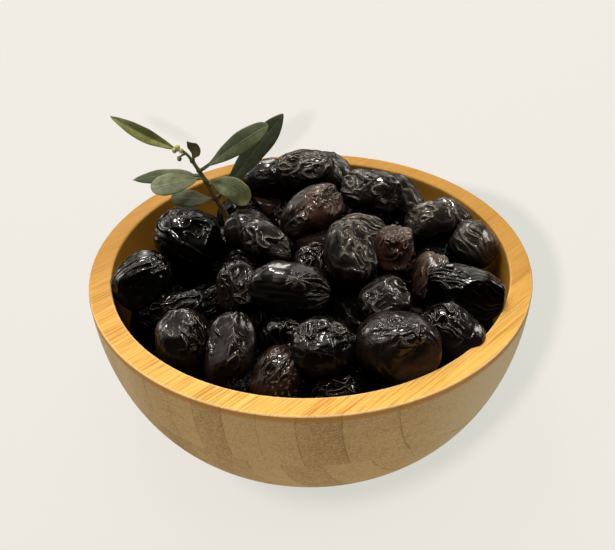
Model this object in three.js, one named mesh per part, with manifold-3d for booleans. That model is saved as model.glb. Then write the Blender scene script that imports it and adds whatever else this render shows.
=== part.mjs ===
// A round bamboo bowl, heaped with dry-cured black olives, with a sprig of the olive tree stuck in the heap.
// Millimetres, +Z up. The origin is the middle of the bowl's foot, on the surface that it stands on.
import * as THREE from "three";
import { mergeVertices } from "three/addons/utils/BufferGeometryUtils.js";
import Module from "manifold-3d";

const wasm = await Module();
wasm.setup();

// What touches keeps this gap.
const clearance = 0.35;

// The bowl is turned: its wall is a quarter of a superellipse outside and inside.
const bowl = {
  rimRadius: 75,
  footRadius: 35,
  height: 60,
  rimWidth: 7.4,
  rimRounding: 0.8,
  floor: 9,
  floorRadius: 28,
  roundness: 2.14,
  wallSteps: 7,
  roundingSteps: 2,
  sides: 48,
};

// The unseen middle of the heap: it fills the bowl and rises to a low mound that the olives lie in.
const mound = { top: 55, edge: 40, steps: 3, sides: 20 };

// The olives of the upper layer: middle, length and girth, then the turn of the long axis about Z
// and its tilt from level, in degrees.
const olives = [
  // against the back and in the middle of the back
  { at: [-16, 44, 66], length: 18, girth: 15, turn: 5, tilt: 5 },
  { at: [-1, 41, 71], length: 23, girth: 15, turn: 0, tilt: 0 },
  { at: [9, 52, 63], length: 19, girth: 16, turn: 160, tilt: 30 },
  { at: [3, 49, 56], length: 21, girth: 17, turn: 20, tilt: 0 },
  { at: [23, 24, 71], length: 23, girth: 15, turn: 170, tilt: 5 },
  { at: [34, 29, 65], length: 18, girth: 15, turn: 145, tilt: 40 },
  { at: [34, 29, 53], length: 17, girth: 15, turn: 0, tilt: 5 },
  { at: [1, 11, 71], length: 24, girth: 15, turn: 20, tilt: 30 },
  { at: [-18, 37, 54], length: 20, girth: 16, turn: 0, tilt: 5 },
  // right-hand side
  { at: [44, 18, 61], length: 18, girth: 15, turn: 5, tilt: 20 },
  { at: [53, 26, 58], length: 16, girth: 13, turn: 150, tilt: 25 },
  { at: [58, 6, 59], length: 18, girth: 16, turn: 140, tilt: 35 },
  { at: [49, -26, 63], length: 25, girth: 17, turn: 160, tilt: 10 },
  { at: [40, -11, 58], length: 16, girth: 13, turn: 55, tilt: 50 },
  { at: [28, -11, 69], length: 17, girth: 15, turn: 70, tilt: 55 },
  // middle
  { at: [13, -16, 72], length: 22, girth: 17, turn: 110, tilt: 55 },
  { at: [18, 2, 67], length: 17, girth: 14, turn: 170, tilt: 5 },
  { at: [-15, -1, 67], length: 18, girth: 13, turn: 160, tilt: 30 },
  { at: [-22, 12, 63], length: 17, girth: 15, turn: 5, tilt: 5 },
  { at: [2, -14, 65], length: 16, girth: 12, turn: 125, tilt: 50 },
  { at: [3, 6, 60], length: 18, girth: 15, turn: 0, tilt: 0 },
  { at: [-7, -27, 66], length: 26, girth: 17, turn: 175, tilt: 5 },
  { at: [-23, -23, 64], length: 17, girth: 15, turn: 105, tilt: 55 },
  { at: [23, -31, 64], length: 16, girth: 14, turn: 10, tilt: 20 },
  // left-hand side
  { at: [-42, 4, 66], length: 23, girth: 21, turn: 175, tilt: 25 },
  { at: [-56, -11, 59], length: 21, girth: 19, turn: 40, tilt: 30 },
  { at: [-40, -21, 54], length: 19, girth: 15, turn: 10, tilt: 5 },
  // front
  { at: [-39, -41, 58], length: 20, girth: 17, turn: 105, tilt: 50 },
  { at: [-24, -47, 59], length: 23, girth: 16, turn: 80, tilt: 45 },
  { at: [-10, -54, 54], length: 18, girth: 16, turn: 50, tilt: 35 },
  { at: [3, -50, 62], length: 19, girth: 18, turn: 5, tilt: 5 },
  { at: [25, -50, 62], length: 25, girth: 21, turn: 165, tilt: 5 },
  { at: [43, -41, 58], length: 22, girth: 17, turn: 135, tilt: 30 },
  { at: [8, -57, 51], length: 17, girth: 13, turn: 5, tilt: 5 },
  { at: [-8, -40, 57], length: 15, girth: 13, turn: 0, tilt: 0 },
];
// One low wave round each olive, and one along it, take it off the perfect oval.
const unevenness = 0.05;
// An olive whose middle is less than this above the mound shows little, and gets fewer sides.
const deep = 7;
const olivePlain = { around: 8, along: 5 };
const oliveFull = { around: 10, along: 7 };

// The olives of the layer below show in the gaps. They follow a sunflower spiral over the mound.
const lowerLayer = { count: 30, reach: 56, length: 21, girth: 16, raised: 2, spiral: 137.5 };

// The sprig: its stem leans to the left, and each leaf runs from the stem through a middle point to its tip.
const stem = {
  path: [[-29, 18, 48], [-30, 20, 63], [-33.5, 20.5, 72], [-36.2, 21, 78.2], [-38.8, 21, 83.7], [-41.4, 21, 88.6],
    [-44.4, 21, 91.6]],
  thickBelow: 3.2,
  thickAbove: 1.6,
  sides: 7,
  steps: 13,
};
// face is the way that the upper side of the leaf looks.
const leaves = [
  { from: [-44.8, 21, 90.8], by: [-55.3, 21, 96.9], to: [-66, 22, 103.4], width: 5.8, face: [0.1, -0.7, 0.7] },
  { from: [-39.9, 21, 86.4], by: [-37.6, 20, 90.8], to: [-40.4, 18, 95.5], width: 4, face: [-0.5, -0.8, 0.1] },
  { from: [-38, 21, 82.4], by: [-23.4, 15, 95.4], to: [-12.7, 12, 103.5], width: 8.6, face: [0.1, -0.7, 0.7] },
  { from: [-33, 20.5, 71], by: [-20.5, 29.5, 83.5], to: [-8.4, 36, 96.5], width: 8, face: [0.4, -0.8, 0.3] },
  { from: [-37.6, 21, 80.8], by: [-51, 26, 78], to: [-64, 28, 75.6], width: 6.4, face: [0, -0.5, 0.85] },
  { from: [-37.2, 20.6, 80], by: [-46.6, 14.5, 81.4], to: [-54, 12, 81], width: 7.8, face: [0, -0.6, 0.8] },
  { from: [-33.2, 20.4, 71.4], by: [-41, 17.5, 73.4], to: [-49, 17.5, 74.6], width: 6.8, face: [0, -0.5, 0.85] },
  { from: [-36, 21, 78], by: [-27.5, 20, 76], to: [-21.4, 20, 69.6], width: 8.4, face: [0.2, -0.8, 0.55] },
];
const leafBlade = { thickness: 0.8, steps: 10, cells: 2, stalk: 0.12, stalkWidth: 1.4, fold: 0.16, wave: 0.25 };
// Small round buds sit at the tip of the stem, and one hangs below it.
const buds = [
  { at: [-44.6, 20.6, 92], radius: 1.3 },
  { at: [-45.8, 20.4, 91], radius: 1.1 },
  { at: [-43.4, 20.2, 90.9], radius: 1.1 },
  { at: [-44.3, 19.6, 88.2], radius: 1 },
];
const budStalk = { path: [[-42, 21, 89.4], [-43.6, 20.2, 89], [-44.4, 19.6, 87.8]], thick: 0.9 };

const materials = {
  bamboo: new THREE.MeshStandardMaterial({ color: 0xd9a765, roughness: 0.45, metalness: 0 }),
  olive: new THREE.MeshStandardMaterial({ color: 0x1d1614, roughness: 0.25, metalness: 0 }),
  leaf: new THREE.MeshStandardMaterial({ color: 0x5b6a42, roughness: 0.5, metalness: 0 }),
};

const radians = THREE.MathUtils.degToRad;

function toSolid(geometry) {
  const bare = geometry.clone();
  bare.deleteAttribute("normal");
  bare.deleteAttribute("uv");
  const merged = mergeVertices(bare, 1e-4);
  return new wasm.Manifold(new wasm.Mesh({
    numProp: 3,
    vertProperties: new Float32Array(merged.attributes.position.array),
    triVerts: new Uint32Array(merged.index.array),
  }));
}

// Only the largest piece is kept, so a scrap that a cut leaves behind goes.
function toMesh(solid, name, material) {
  const pieces = solid.decompose();
  pieces.sort((one, other) => other.volume() - one.volume());
  const { vertProperties, triVerts, numProp } = pieces[0].getMesh();
  const geometry = new THREE.BufferGeometry();
  const points = [];
  for (let i = 0; i < vertProperties.length; i += numProp) {
    points.push(vertProperties[i], vertProperties[i + 1], vertProperties[i + 2]);
  }
  geometry.setAttribute("position", new THREE.Float32BufferAttribute(points, 3));
  geometry.setIndex(Array.from(triVerts));
  geometry.computeVertexNormals();
  const mesh = new THREE.Mesh(geometry, material);
  mesh.name = name;
  return mesh;
}

// A quarter of a superellipse from the rim, where it stands upright, to the flat floor or foot.
function wallPoints(rimRadius, lowRadius, rimHeight, lowHeight, steps) {
  const points = [];
  for (let i = 0; i <= steps; i += 1) {
    const angle = (i / steps) * Math.PI / 2;
    const across = Math.max(Math.cos(angle), 0) ** (2 / bowl.roundness);
    const down = Math.sin(angle) ** (2 / bowl.roundness);
    points.push(new THREE.Vector2(
      lowRadius + (rimRadius - lowRadius) * across,
      rimHeight - (rimHeight - lowHeight) * down,
    ));
  }
  return points;
}

// The rounded edge between a wall and the flat top of the rim.
function rimEdge(centreRadius, fromAngle, toAngle) {
  const points = [];
  for (let i = 0; i <= bowl.roundingSteps; i += 1) {
    const angle = fromAngle + (toAngle - fromAngle) * i / bowl.roundingSteps;
    points.push(new THREE.Vector2(
      centreRadius + bowl.rimRounding * Math.cos(angle),
      bowl.height - bowl.rimRounding + bowl.rimRounding * Math.sin(angle),
    ));
  }
  return points;
}

// LatheGeometry turns its profile about Y, so it is laid over to stand on Z.
function turned(profile, sides) {
  const geometry = new THREE.LatheGeometry(profile, sides);
  geometry.rotateX(Math.PI / 2);
  return toSolid(geometry);
}

function makeBowl() {
  const innerRadius = bowl.rimRadius - bowl.rimWidth;
  const wallTop = bowl.height - bowl.rimRounding;
  const outside = wallPoints(bowl.rimRadius, bowl.footRadius, wallTop, 0, bowl.wallSteps);
  const inside = wallPoints(innerRadius, bowl.floorRadius, wallTop, bowl.floor, bowl.wallSteps);
  const profile = [
    new THREE.Vector2(0, 0),
    ...outside.reverse().slice(0, -1),
    ...rimEdge(bowl.rimRadius - bowl.rimRounding, 0, Math.PI / 2),
    ...rimEdge(innerRadius + bowl.rimRounding, Math.PI / 2, Math.PI),
    ...inside.slice(1),
    new THREE.Vector2(0, bowl.floor),
  ];
  return turned(profile, bowl.sides);
}

// The room inside the bowl, kept clear of its wall, and the open space above it.
function makeRoom() {
  const openTop = 200;
  const roomSteps = 5;
  const sideFlat = Math.cos(Math.PI / bowl.sides);
  const radius = (bowl.rimRadius - bowl.rimWidth) * sideFlat - clearance;
  const lowRadius = bowl.floorRadius * sideFlat - clearance;
  const wall = wallPoints(radius, lowRadius, bowl.height, bowl.floor + clearance, roomSteps);
  const profile = [
    new THREE.Vector2(0, bowl.floor + clearance),
    ...wall.reverse(),
    new THREE.Vector2(radius, openTop),
    new THREE.Vector2(0, openTop),
  ];
  return turned(profile, bowl.sides / 2);
}

function moundHeight(radius) {
  return mound.top - (mound.top - mound.edge) * (radius / bowl.rimRadius) ** 2;
}

function makeMound() {
  const profile = [new THREE.Vector2(0, 0), new THREE.Vector2(bowl.rimRadius, 0)];
  for (let i = mound.steps; i >= 0; i -= 1) {
    const radius = bowl.rimRadius * i / mound.steps;
    profile.push(new THREE.Vector2(radius, moundHeight(radius)));
  }
  return turned(profile, mound.sides);
}

function makeOlive({ at, length, girth, turn, tilt }, sides, order) {
  const geometry = new THREE.SphereGeometry(1, sides.around, sides.along);
  geometry.rotateZ(Math.PI / 2);
  const place = geometry.attributes.position;
  const point = new THREE.Vector3();
  for (let i = 0; i < place.count; i += 1) {
    point.fromBufferAttribute(place, i);
    const round = Math.sin(2 * Math.atan2(point.z, point.y) + order) * (1 - point.x * point.x);
    const along = Math.sin(3 * point.x + 2 * order);
    point.multiplyScalar(1 + unevenness * round + unevenness / 2 * along);
    place.setXYZ(i, point.x, point.y, point.z);
  }
  geometry.scale(length / 2, girth / 2, girth / 2);
  geometry.rotateY(-radians(tilt));
  geometry.rotateZ(radians(turn));
  geometry.translate(...at);
  return toSolid(geometry);
}

function makeHeap(stemSocket) {
  const upper = olives.map((olive, order) => {
    const [x, y, z] = olive.at;
    const above = z - moundHeight(Math.hypot(x, y));
    return makeOlive(olive, above < deep ? olivePlain : oliveFull, order);
  });
  const lower = [];
  for (let i = 0; i < lowerLayer.count; i += 1) {
    const turn = i * lowerLayer.spiral;
    const radius = lowerLayer.reach * Math.sqrt((i + 0.5) / lowerLayer.count);
    const at = [
      radius * Math.cos(radians(turn)),
      radius * Math.sin(radians(turn)),
      moundHeight(radius) + lowerLayer.raised,
    ];
    lower.push(makeOlive({ at, length: lowerLayer.length, girth: lowerLayer.girth, turn, tilt: 0 }, olivePlain, i));
  }
  return wasm.Manifold.union([makeMound(), ...upper, ...lower]).intersect(makeRoom()).subtract(stemSocket);
}

function toVector(point) {
  return new THREE.Vector3(...point);
}

// A round stick along a curve, thick at its start and thin at its end: a cylinder bent to the curve.
function makeStick(path, thickBelow, thickAbove, sides, steps) {
  const curve = new THREE.CatmullRomCurve3(path.map(toVector));
  const frames = curve.computeFrenetFrames(steps, false);
  const geometry = new THREE.CylinderGeometry(thickAbove / 2, thickBelow / 2, steps, sides, steps);
  const place = geometry.attributes.position;
  for (let i = 0; i < place.count; i += 1) {
    const step = Math.round(place.getY(i) + steps / 2);
    const point = curve.getPointAt(step / steps)
      .addScaledVector(frames.normals[step], place.getX(i))
      .addScaledVector(frames.binormals[step], -place.getZ(i));
    place.setXYZ(i, point.x, point.y, point.z);
  }
  return toSolid(geometry);
}

// Half the width of a leaf at a share of its length: a short stalk, then the blade.
function halfWidth(share, width) {
  if (share < leafBlade.stalk) {
    return leafBlade.stalkWidth / 2;
  }
  const blade = (share - leafBlade.stalk) / (1 - leafBlade.stalk);
  const swell = Math.sin(Math.PI * blade ** 0.85) ** 0.75;
  return Math.max(swell * width / 2, blade < 0.5 ? leafBlade.stalkWidth / 2 : 0.3);
}

// Both faces of a blade take the same net of triangles, and a strip closes the edge between them.
function makeLeaf({ from, by, to, width, face }, order) {
  const { thickness, steps, cells, fold, wave } = leafBlade;
  const curve = new THREE.CatmullRomCurve3([from, by, to].map(toVector));
  const net = new THREE.PlaneGeometry(1, 1, steps, cells);
  const netPlace = net.attributes.position;
  const half = netPlace.count;
  const points = [];
  for (const side of [1, -1]) {
    for (let i = 0; i < half; i += 1) {
      const share = netPlace.getX(i) + 0.5;
      const across = netPlace.getY(i) * 2;
      const tangent = curve.getTangentAt(share);
      const sideways = toVector(face).cross(tangent).normalize();
      const upward = tangent.clone().cross(sideways).normalize();
      const reach = across * halfWidth(share, width);
      const ripple = wave * Math.sin(2 * Math.PI * share * 1.5 + order) * across;
      const lift = fold * Math.abs(reach) + ripple + side * thickness / 2;
      const point = curve.getPointAt(share)
        .addScaledVector(sideways, reach)
        .addScaledVector(upward, lift);
      points.push(point.x, point.y, point.z);
    }
  }
  const faces = [];
  const netFaces = Array.from(net.index.array);
  for (let i = 0; i < netFaces.length; i += 3) {
    const [a, b, c] = netFaces.slice(i, i + 3);
    faces.push(a, b, c, half + a, half + c, half + b);
  }
  const row = steps + 1;
  const edge = [];
  for (let i = 0; i < steps; i += 1) edge.push(i);
  for (let i = 0; i < cells; i += 1) edge.push(i * row + steps);
  for (let i = steps; i > 0; i -= 1) edge.push(cells * row + i);
  for (let i = cells; i > 0; i -= 1) edge.push(i * row);
  edge.forEach((a, i) => {
    const b = edge[(i + 1) % edge.length];
    faces.push(a, b, half + a, b, half + b, half + a);
  });
  const geometry = new THREE.BufferGeometry();
  geometry.setAttribute("position", new THREE.Float32BufferAttribute(points, 3));
  geometry.setIndex(faces);
  return toSolid(geometry);
}

function makeBud({ at, radius }) {
  const geometry = new THREE.SphereGeometry(radius, 7, 5);
  geometry.translate(...at);
  return toSolid(geometry);
}

function makeSprig() {
  const stick = makeStick(stem.path, stem.thickBelow, stem.thickAbove, stem.sides, stem.steps);
  const stalk = makeStick(budStalk.path, budStalk.thick, budStalk.thick, 6, 4);
  return wasm.Manifold.union([stick, stalk, ...leaves.map(makeLeaf), ...buds.map(makeBud)]);
}

// The hole that the stem stands in: the stem's own path, wider all round by the gap.
function makeStemSocket() {
  const extra = 2 * clearance + 0.3;
  const end = [stem.path[0][0], stem.path[0][1], stem.path[0][2] - clearance];
  return makeStick([end, ...stem.path.slice(1)], stem.thickBelow + extra, stem.thickAbove + extra, stem.sides,
    stem.steps);
}

const dish = new THREE.Group();
dish.add(toMesh(makeBowl(), "bowl", materials.bamboo));
dish.add(toMesh(makeHeap(makeStemSocket()), "olives", materials.olive));
dish.add(toMesh(makeSprig(), "sprig", materials.leaf));

export default dish;
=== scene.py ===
import math

import bmesh
import bpy
import numpy as np
from mathutils import Matrix, Vector


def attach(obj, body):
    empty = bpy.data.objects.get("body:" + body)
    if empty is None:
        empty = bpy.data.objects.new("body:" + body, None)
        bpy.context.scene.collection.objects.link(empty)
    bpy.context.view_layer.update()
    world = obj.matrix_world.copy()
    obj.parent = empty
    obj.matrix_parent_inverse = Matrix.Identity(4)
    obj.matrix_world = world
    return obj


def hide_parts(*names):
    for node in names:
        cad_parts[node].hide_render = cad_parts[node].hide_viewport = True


# A round bamboo bowl heaped with dry-cured black olives, with a sprig of the olive tree in it.
# Sizes are in millimetres and turn into metres where a mesh, the camera or a light is made.
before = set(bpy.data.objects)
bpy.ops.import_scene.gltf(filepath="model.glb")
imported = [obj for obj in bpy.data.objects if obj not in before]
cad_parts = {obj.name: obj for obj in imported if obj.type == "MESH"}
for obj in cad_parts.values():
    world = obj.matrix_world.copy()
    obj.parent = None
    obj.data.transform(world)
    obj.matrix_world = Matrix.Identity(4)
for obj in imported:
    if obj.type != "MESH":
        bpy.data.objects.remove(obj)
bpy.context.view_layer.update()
millimetre = 0.001
print("frame loaded:", ", ".join(sorted(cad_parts)))


def paint(red, green, blue):
    # screen colour from 0 to 255, turned into the linear one that a shader takes
    parts = []
    for value in (red, green, blue):
        share = value / 255
        parts.append(share / 12.92 if share <= 0.04045 else ((share + 0.055) / 1.055) ** 2.4)
    return (*parts, 1.0)


def setStops(ramp, stops):
    while len(ramp.elements) < len(stops):
        ramp.elements.new(1.0)
    for element, (place, colour) in zip(ramp.elements, stops):
        element.position = place
        element.color = colour


def fill(tree, node, values):
    for name, value in values.items():
        if isinstance(value, Wire):
            tree.links.new(value.socket, node.inputs[name])
        else:
            node.inputs[name].default_value = value


def maths(operation, reflected=False):
    # a method of Wire, which comes second in the reflected form
    def reckon(wire, other=0.0):
        first, second = (other, wire) if reflected else (wire, other)
        return wire.node("Math", {"operation": operation}, {0: first, 1: second})
    return reckon


class Wire:
    # an output socket that can be reckoned with
    def __init__(self, tree, socket=None):
        self.tree = tree
        self.socket = socket

    def node(self, kind, settings, values, output=0):
        made = self.tree.nodes.new("ShaderNode" + kind)
        for name, setting in settings.items():
            if name == "stops":
                setStops(made.color_ramp, setting)
            else:
                setattr(made, name, setting)
        fill(self.tree, made, values)
        return Wire(self.tree, made.outputs[output])

    def vector(self, operation, other=(0, 0, 0), output=0):
        return self.node("VectorMath", {"operation": operation}, {0: self, 1: other}, output)

    __add__ = maths("ADD")
    __radd__ = maths("ADD", True)
    __sub__ = maths("SUBTRACT")
    __rsub__ = maths("SUBTRACT", True)
    __mul__ = maths("MULTIPLY")
    __rmul__ = maths("MULTIPLY", True)
    __truediv__ = maths("DIVIDE")
    __gt__ = maths("GREATER_THAN")
    __abs__ = maths("ABSOLUTE")
    fraction = maths("FRACT")
    root = maths("SQRT")

    def rise(self, low, high):
        # 0 below low, 1 above high and soft between
        return self.node("MapRange", {"interpolation_type": "SMOOTHSTEP"},
                         {"Value": self, "From Min": low, "From Max": high})

    def between(self, first, second):
        # this share of the way from the first colour to the second
        return self.node("Mix", {"data_type": "RGBA"}, {0: self, 6: first, 7: second}, 2)

    def dot(self, direction):
        return self.vector("DOT_PRODUCT", direction, 1)

    def length(self):
        return self.vector("LENGTH", output=1)

    def scaled(self, sizes):
        return self.vector("MULTIPLY", sizes)

    def stack(self, x, y, z):
        return self.node("CombineXYZ", {}, {"X": x, "Y": y, "Z": z})

    def noise(self, scale, detail=2.0, roughness=0.5):
        values = {"Vector": self, "Scale": scale, "Detail": detail, "Roughness": roughness}
        return self.node("TexNoise", {}, values)

    def crest(self, width):
        # 1 where a noise crosses its middle, and 0 from width on either side
        return 1 - abs(self - 0.5).rise(0.0, width)

    def attribute(self, name, output="Fac"):
        return self.node("Attribute", {"attribute_name": name}, {}, output)

    def bump(self, strength, distance):
        return self.node("Bump", {}, {"Height": self, "Strength": strength, "Distance": distance})


def newMaterial(name):
    material = bpy.data.materials.new(name)
    material.use_nodes = True
    tree = material.node_tree
    wire = Wire(tree)
    place = wire.node("TexCoord", {}, {}, "Object").scaled((1 / millimetre,) * 3)
    return material, tree.nodes["Principled BSDF"], wire, place


valueKinds = {1: ("FLOAT", "value"), 3: ("FLOAT_VECTOR", "vector"), 4: ("FLOAT_COLOR", "color")}


def addObject(name, data):
    made = bpy.data.objects.new(name, data)
    bpy.context.scene.collection.objects.link(made)
    return made


def addMesh(name, points, faces, material):
    mesh = bpy.data.meshes.new(name)
    mesh.from_pydata((np.asarray(points) * millimetre).tolist(), [], faces)
    mesh.materials.append(material)
    return addObject(name, mesh)


def makePiece(name, parts, material, node):
    # parts are (points in millimetres, faces, values for each point), joined to one mesh
    points = []
    faces = []
    values = {key: [] for key in parts[0][2]}
    count = 0
    for partPoints, partFaces, partValues in parts:
        points.append(partPoints)
        faces.extend([[corner + count for corner in face] for face in partFaces])
        for key in values:
            values[key].append(partValues[key])
        count += len(partPoints)
    piece = addMesh(name, np.concatenate(points), faces, material)
    for key, lists in values.items():
        joined = np.concatenate(lists)
        kind, field = valueKinds[joined.size // len(joined)]
        piece.data.attributes.new(key, kind, "POINT").data.foreach_set(field, joined.ravel())
    piece.data.shade_smooth()
    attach(piece, "root")
    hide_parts(node)
    print(f"{name}: {sum(len(face) - 2 for face in faces)} triangles")


def skin(rings):
    # rings is an array of closed loops: they are joined by quads, and a fan shuts each end
    steps, around = rings.shape[:2]
    points = np.concatenate([rings.reshape(-1, 3), rings[0].mean(0)[None], rings[-1].mean(0)[None]])
    faces = []
    for i in range(steps - 1):
        for j in range(around):
            k = (j + 1) % around
            faces.append([i * around + j, i * around + k, (i + 1) * around + k, (i + 1) * around + j])
    first, last = steps * around, steps * around + 1
    top = (steps - 1) * around
    for j in range(around):
        k = (j + 1) % around
        faces.append([k, j, first])
        faces.append([top + j, top + k, last])
    return points, faces


def turnedSkin(profile, sides):
    # a profile of radii and heights, turned about Z
    turn = np.arange(sides) * 2 * math.pi / sides
    radius, height = profile[:, 0:1], profile[:, 1:2]
    points, faces = skin(np.stack([radius * np.cos(turn), radius * np.sin(turn), height + 0 * turn], axis=2))
    return points, [face[::-1] for face in faces]


def unitBall(level):
    ball = bmesh.new()
    bmesh.ops.create_icosphere(ball, subdivisions=level, radius=1)
    ball.verts.index_update()
    points = np.array([vertex.co[:] for vertex in ball.verts])
    faces = [[vertex.index for vertex in face.verts] for face in ball.faces]
    # six neighbours of each point, one of them twice where there are five
    around = [[edge.other_vert(vertex).index for edge in vertex.link_edges] for vertex in ball.verts]
    around = np.array([(near + near[:1])[:6] for near in around])
    ball.free()
    return points, faces, around


noiseSeed = 11
noiseGain = 1.6
noiseDraw = np.random.default_rng(noiseSeed)
noiseOrder = noiseDraw.permutation(256)
noiseSlopes = noiseDraw.normal(size=(256, 3))
noiseSlopes /= np.linalg.norm(noiseSlopes, axis=1)[:, None]


def softNoise(points):
    # gradient noise: smooth, between about -1 and 1, with one wave in about two units
    cell = np.floor(points).astype(int)
    part = points - cell
    blend = part ** 3 * (part * (part * 6 - 15) + 10)
    total = np.zeros(len(points))
    for corner in np.ndindex(2, 2, 2):
        at = (cell + corner) & 255
        pick = noiseOrder[(noiseOrder[(noiseOrder[at[:, 0]] + at[:, 1]) & 255] + at[:, 2]) & 255]
        weight = np.prod(np.where(corner, blend, 1 - blend), axis=1)
        total += weight * ((part - corner) * noiseSlopes[pick]).sum(axis=1)
    return total * noiseGain


def waves(points, size, shift=0):
    # noise in units of size mm: another shift gives another pattern
    return softNoise(points / size + shift)


def rise(values, low, high):
    share = np.clip((values - low) / (high - low), 0, 1)
    return share * share * (3 - 2 * share)


curveSteps = 24                 # fine steps between two stops of a curve


def evenCurve(stops, count):
    # a smooth curve through the stops, as points at even steps along it
    stops = np.array(stops, float)
    padded = np.vstack([2 * stops[0] - stops[1], stops, 2 * stops[-1] - stops[-2]])
    fine = []
    for i in range(len(stops) - 1):
        a, b, c, d = padded[i:i + 4]
        for t in np.linspace(0, 1, curveSteps, endpoint=False):
            fine.append(0.5 * (2 * b + (c - a) * t + (2 * a - 5 * b + 4 * c - d) * t ** 2
                               + (3 * b - a - 3 * c + d) * t ** 3))
    fine = np.array([*fine, stops[-1]])
    lengths = np.concatenate([[0], np.cumsum(np.linalg.norm(np.diff(fine, axis=0), axis=1))])
    at = np.linspace(0, lengths[-1], count)
    return np.stack([np.interp(at, lengths, fine[:, axis]) for axis in range(3)], axis=1)


def unit(vectors):
    vectors = np.asarray(vectors, float)
    return vectors / np.linalg.norm(vectors, axis=-1, keepdims=True)


bowl = {
    "rimRadius": 75,
    "footRadius": 35,
    "height": 60,
    "rimWidth": 7.4,
    "rimRounding": 0.8,
    "floor": 9,
    "floorRadius": 28,
    "roundness": 2.14,
    "middle": 1.0,              # the radius of the innermost ring of points
    "wallSteps": 40,
    "roundingSteps": 7,
    "rimSteps": 6,
    "footSteps": 8,
    "floorSteps": 7,
    "sides": 192,
}
innerRadius = bowl["rimRadius"] - bowl["rimWidth"]
bamboo = {
    "grainTurn": 43.5,          # the strips run this way across the bowl, in degrees from X
    "stripWidth": 8.58,
    "firstJoint": -68.0,
    "firstTone": 75.26,         # where the row of the strips' tones starts
    "layerTops": (14, 37),      # heights where one layer of strips ends and the next starts
    "layerShift": 7.38,         # in strips
    "layerRipple": 0.06,
    "jointWidth": 0.22,
    # waves in a millimetre across, up and along the strips
    "fibre": (2.3, 2.3, 0.04),
    "band": (0.42, 0.3, 0.012),
    "speck": (1.9, 1.9, 0.8),
    "honeyLight": paint(250, 202, 112),
    "honey": paint(243, 190, 95),
    "honeyDark": paint(198, 134, 58),
    "honeyBackShade": paint(172, 124, 56),   # painted shade: the honey is darker away from the front
    "edgeHighlight": paint(255, 232, 178),       # painted highlight along the two edges of the rim
    "innerHoney": paint(194, 135, 47),      # the inner wall, in a deeper and darker tone than the rim
    "shadeNearOlives": paint(66, 42, 18),          # painted shade on the inner wall close to the olives
    "rawLight": paint(230, 198, 143),
    "raw": paint(212, 178, 123),
    "rawDark": paint(170, 136, 90),
    "rawSideLight": paint(226, 209, 174),    # painted light: paler towards the left and right sides
    "joint": paint(96, 66, 36),
    # how much of each tint shows where it is strongest
    "shares": {"honeyLight": 0.9, "honeyBackShade": 0.8, "edgeHighlight": 0.7, "innerHoney": 0.9, "shadeNearOlives": 0.8,
               "rawLight": 0.45, "rawSideLight": 0.7, "honeyDark": 0.75},
    "shadeSlant": 0.16,           # the painted shade reaches higher towards the front
}


def wallProfile(rimRadius, lowRadius, lowHeight):
    # a quarter of a superellipse, from the rim down to the flat part
    top = bowl["height"] - bowl["rimRounding"]
    angles = np.linspace(0, math.pi / 2, bowl["wallSteps"] + 1)
    across = np.maximum(np.cos(angles), 0) ** (2 / bowl["roundness"])
    down = np.sin(angles) ** (2 / bowl["roundness"])
    return np.stack([lowRadius + (rimRadius - lowRadius) * across, top - (top - lowHeight) * down], axis=1)


def rimEdge(centreRadius, fromAngle, toAngle):
    angles = np.linspace(fromAngle, toAngle, bowl["roundingSteps"] + 1)
    rounding = bowl["rimRounding"]
    return np.stack([centreRadius + rounding * np.cos(angles),
                     bowl["height"] - rounding + rounding * np.sin(angles)], axis=1)


def insideRadius(height):
    # how far the inner wall is from the middle at a height
    top = bowl["height"] - bowl["rimRounding"]
    down = np.clip((top - height) / (top - bowl["floor"]), 0, 1)
    sine = down ** (bowl["roundness"] / 2)
    across = np.sqrt(1 - sine ** 2) ** (2 / bowl["roundness"])
    return bowl["floorRadius"] + (innerRadius - bowl["floorRadius"]) * across


def levelRow(fromRadius, toRadius, steps, height):
    radii = np.linspace(fromRadius, toRadius, steps)
    return np.stack([radii, np.full(steps, float(height))], axis=1)


def makeBowl(material):
    outerCentre = bowl["rimRadius"] - bowl["rimRounding"]
    innerCentre = innerRadius + bowl["rimRounding"]
    foot = levelRow(bowl["middle"], bowl["footRadius"], bowl["footSteps"], 0)[:-1]
    outside = wallProfile(bowl["rimRadius"], bowl["footRadius"], 0)[::-1]
    profile = np.concatenate([
        foot,
        outside,
        rimEdge(outerCentre, 0, math.pi / 2)[1:],
        levelRow(outerCentre, innerCentre, bowl["rimSteps"], bowl["height"])[1:-1],
        rimEdge(innerCentre, math.pi / 2, math.pi),
        wallProfile(innerRadius, bowl["floorRadius"], bowl["floor"])[1:],
        levelRow(bowl["floorRadius"], bowl["middle"], bowl["floorSteps"], bowl["floor"])[1:],
    ])
    points, faces = turnedSkin(profile, bowl["sides"])
    # the wood is bare up to the second step of the rim's rounding
    bare = np.where(np.arange(len(profile)) < len(foot) + len(outside) + 2, 1.0, 0.0)
    bare = np.concatenate([np.repeat(bare, bowl["sides"]), [1.0, 0.0]])
    makePiece("bamboo_bowl", [(points, faces, {"bare": bare})], material, "bowl")


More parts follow.
